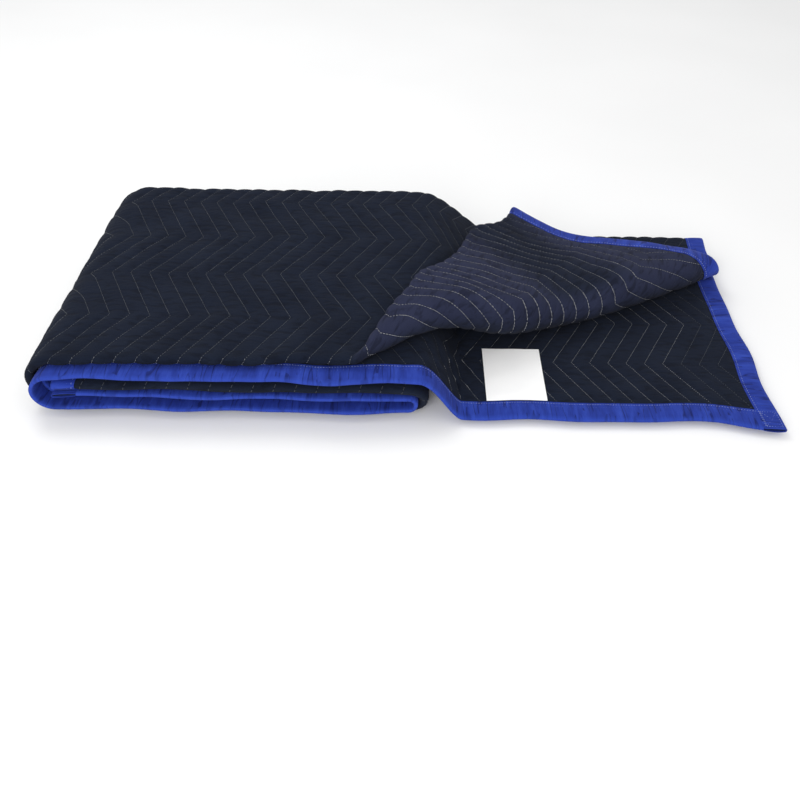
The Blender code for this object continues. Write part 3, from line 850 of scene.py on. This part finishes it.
# the threads, which run up and down through the cloth
thread = {
    "radius": 0.00030,
    "stitch": 0.0036,
    "labelStep": 0.0013,
    "labelInset": 0.003,
    "above": 0.00016,
    "below": 0.0010,
    "lowest": 0.0012,
    "boxHeight": 0.58,
}


def stitched(name, runs, material):
    curve = bpy.data.curves.new(name, "CURVE")
    curve.dimensions = "3D"
    curve.bevel_depth = thread["radius"]
    curve.bevel_resolution = 0
    curve.use_fill_caps = True
    for run in runs:
        spline = curve.splines.new("POLY")
        spline.points.add(len(run) - 1)
        for point, (at, out, up) in zip(spline.points, run):
            at = at + out * (thread["above"] if up else -thread["below"])
            point.co = (*at, 1)
            point.radius = 1.0 if up else 0.6
    holder = bpy.data.objects.new(name + "Curve", curve)
    mesh = bpy.data.meshes.new_from_object(holder)
    bpy.data.objects.remove(holder)
    mesh.name = name
    mesh.materials.clear()
    mesh.materials.append(material)
    mesh.shade_smooth()
    return addPiece(name, mesh)


def skin(u, v, off, side=-1):
    # the point off metres out from the cloth's middle, and the outward direction there
    at = place(u, v, side * off)
    return at, (place(u, v, side * (off + 0.001)) - at).normalized()


def runsOf(path, shown, count):
    # splits a stitch line where it is covered or too near the floor; path gives its skin points
    runs, run = [], []
    for i in range(count + 1):
        spot = path(i) if shown(i) else None
        if spot and spot[0].z > thread["lowest"]:
            run.append((*spot, i % 2 == 0))
        elif run:
            runs.append(run)
            run = []
    runs.append(run)
    return [r for r in runs if len(r) > 2]


def zigzagRuns(shown):
    runs = []
    slope = math.hypot(1.0, 2 * quilt["swing"] / quilt["leg"])
    step = thread["stitch"] / 2 / slope
    low, high = cloth["edgeBand"] + 0.004, cloth["width"] - cloth["edgeBand"] - 0.004
    count = int((high - low) / step)
    for k in range(1, int(uBottom / quilt["spacing"]) + 2):
        def spot(i):
            v = low + step * i
            return k * quilt["spacing"] + zigzag(v), v

        def path(i):
            u, v = spot(i)
            return skin(u, v, halfThick(u, v) + relief(u, v))

        runs += runsOf(path, lambda i: shown(*spot(i)), count)
    return runs


def covered(x, y):
    # whether the turned-back corner lies over this place of the layers behind the crease
    along, ahead = creaseFrame(x, y)
    if ahead > 0:
        return True
    acrossX = x - 2 * ahead * math.sin(corner["angle"])
    acrossY = y + 2 * ahead * math.cos(corner["angle"])
    return along > 0.05 and acrossX < fold["looseEndX"] - 0.06 and acrossY > frontY + 0.06


def topShown(u, v):
    if not (vOuter < v < vFront + 0.01 and cloth["endBand"] + 0.006 < u < uBottom):
        return False
    if u > uLeft or v < vUpper:
        return True
    if turn(u, v) > 0:
        return turn(u, v) < 1.2
    return not covered(*flatXY(u, v))


def flapShown(u, v):
    if not (vFront < v < vInner and cloth["endBand"] + 0.006 < u < uLeft):
        return False
    return turn(u, v) > 0.6 or v < vSecond


def spreadShown(u, v):
    if not (v > vTop and cloth["endBand"] + 0.006 < u < uStep - 0.04):
        return False
    rim = 0.002
    besideLabel = label["u"] - rim < u < label["u"] + label["width"] + rim
    underLabel = besideLabel and v > labelTop - label["depth"] - rim
    return not underLabel and creaseFrame(*flatXY(u, v))[1] > -0.02


# the top layer's stitches use the darker, painted-shade thread
topStitching = stitched("topStitching", zigzagRuns(topShown), shadedTopThread)
flapStitching = stitched("flapStitching", zigzagRuns(lambda u, v: flapShown(u, v) or spreadShown(u, v)),
                         quiltThread)


def bandRuns(toCloth, start, end, rows, sides):
    runs = []
    count = int((end - start) / (thread["stitch"] / 2))
    for d in rows:
        for side in sides:
            def path(i):
                return skin(*toCloth(start + thread["stitch"] / 2 * i, d), cloth["thick"] / 2, side)

            runs += runsOf(path, lambda i: True, count)
    return runs


def straightRuns(lines, step, whole, off):
    # stitch lines between pairs of places on the flat cloth
    runs = []
    for (u0, v0), (u1, v1) in lines:
        count = whole(math.hypot(u1 - u0, v1 - v0) / step)

        def path(i):
            return skin(u0 + (u1 - u0) * i / count, v0 + (v1 - v0) * i / count, off)

        runs += runsOf(path, lambda i: True, count)
    return runs


def boxRuns(us, vs):
    # a sewn box with a cross in it, where two tapes meet in a corner
    a, b, c, d = (us[0], vs[0]), (us[1], vs[0]), (us[1], vs[1]), (us[0], vs[1])
    lines = ((a, b), (b, c), (c, d), (d, a), (a, c), (b, d))
    return straightRuns(lines, thread["stitch"] / 2, round, cloth["thick"] * thread["boxHeight"])


edgeRows = (cloth["edgeBand"] - 0.0035, cloth["edgeBand"] - 0.0095)
endRows = (cloth["endBand"] - 0.0035, cloth["endBand"] - 0.0090)
bandStitches = bandRuns(lambda s, d: (s, cloth["width"] - d), first, uBottom, edgeRows, (-1,))
bandStitches += bandRuns(lambda s, d: (s, d), first, uStep, edgeRows, (-1,))
bandStitches += bandRuns(lambda s, d: (d, s), 0.004, cloth["width"] - 0.004, endRows, (-1, 1))
bandStitches += bandRuns(
    lambda s, d: (cloth["length"] - d, s), vFront - 0.03, vSecond + 0.03, endRows, (-1,))
bandStitches += boxRuns(
    (0.0045, cloth["endBand"] - 0.0045), (cloth["width"] - 0.031, cloth["width"] - 0.0045))
bandStitching = stitched("bandStitching", bandStitches, bandThread)


def labelRuns():
    # the label's back and both sides; its front is caught under the tape
    inset = thread["labelInset"]
    low, high = label["u"] + inset, label["u"] + label["width"] - inset
    back, front = labelTop - label["depth"] + inset, labelTop - inset
    lines = (
        ((low, back), (high, back)),
        ((low, back), (low, front)),
        ((high, back), (high, front)),
    )
    return straightRuns(lines, thread["labelStep"], int, label["off"] + label["thick"])


labelThread = threadMaterial("white label thread", (0.62, 0.62, 0.63), (0.85, 0.85, 0.85))
labelStitching = stitched("labelStitching", labelRuns(), labelThread)

# the stage: a pale floor, soft lights and the camera
stage = {
    "floor": 14.0,
    "sunk": 0.0004,
    "floorDark": (0.89, 0.89, 0.89),
    "floorColour": (0.90, 0.90, 0.90),
    "floorLight": (0.92, 0.92, 0.92),
    "world": 0.80,
}


def buildStage():
    bm = bmesh.new()
    bmesh.ops.create_grid(bm, x_segments=1, y_segments=1, size=stage["floor"] / 2)
    bmesh.ops.translate(bm, verts=bm.verts, vec=(0, 0, -stage["sunk"]))
    mesh = bpy.data.meshes.new("paleFloor")
    bm.to_mesh(mesh)
    bm.free()
    floor = bpy.data.objects.new("paleFloor", mesh)
    n = Nodes("pale floor paint", stage["floorColour"], 0.9, 0.0)
    where = n.node("ShaderNodeTexCoord").outputs["Object"]
    tone = n.noise(where, 2.0, detail=2.0)
    paint = n.ramp(tone, ((0.3, stage["floorDark"]), (0.7, stage["floorLight"])))
    n.link(paint, n.shader.inputs["Base Color"])
    mesh.materials.append(n.material)
    bpy.context.scene.collection.objects.link(floor)
    world = bpy.data.worlds.new("soft room")
    world.use_nodes = True
    world.node_tree.nodes["Background"].inputs["Color"].default_value = (1.0, 1.0, 1.0, 1)
    world.node_tree.nodes["Background"].inputs["Strength"].default_value = stage["world"]
    bpy.context.scene.world = world
    bpy.context.scene.view_settings.view_transform = "Standard"


lights = {
    "front": {"at": (-0.5, -2.2, 1.25), "size": 1.2, "power": 30, "colour": (1.0, 0.99, 0.98)},
    "above": {"at": (-1.0, 1.0, 2.2), "size": 1.2, "power": 16, "colour": (0.97, 0.99, 1.0)},
}


def buildLights():
    for name, values in lights.items():
        lamp = bpy.data.lights.new(name + "Light", "AREA")
        lamp.size = values["size"]
        lamp.energy = values["power"]
        lamp.color = values["colour"]
        holder = bpy.data.objects.new(name + "Light", lamp)
        holder.location = values["at"]
        aim = Vector((0.0, 0.0, 0.05)) - Vector(values["at"])
        holder.rotation_euler = aim.to_track_quat("-Z", "Y").to_euler()
        bpy.context.scene.collection.objects.link(holder)


view = {
    "focal": 870 / 800,
    "pitch": 40.0,
    "roll": 0.9,
    "at": (0.0, -0.890, 0.799),
    "centre": (405 / 800, 394 / 800),
}


def buildCamera():
    camera = bpy.data.cameras.new("photoCamera")
    camera.sensor_width = 36
    camera.lens = 36 * view["focal"]
    camera.shift_x = 0.5 - view["centre"][0]
    camera.shift_y = view["centre"][1] - 0.5
    camera.clip_start = 0.01
    holder = bpy.data.objects.new("photoCamera", camera)
    holder.location = Vector(view["at"]) + originShift
    tilt = Matrix.Rotation(math.radians(90 - view["pitch"]), 4, "X")
    holder.rotation_euler = (tilt @ Matrix.Rotation(math.radians(view["roll"]), 4, "Z")).to_euler()
    bpy.context.scene.collection.objects.link(holder)
    bpy.context.scene.camera = holder


buildStage()
buildLights()
buildCamera()
print("stage, lights and camera ready")
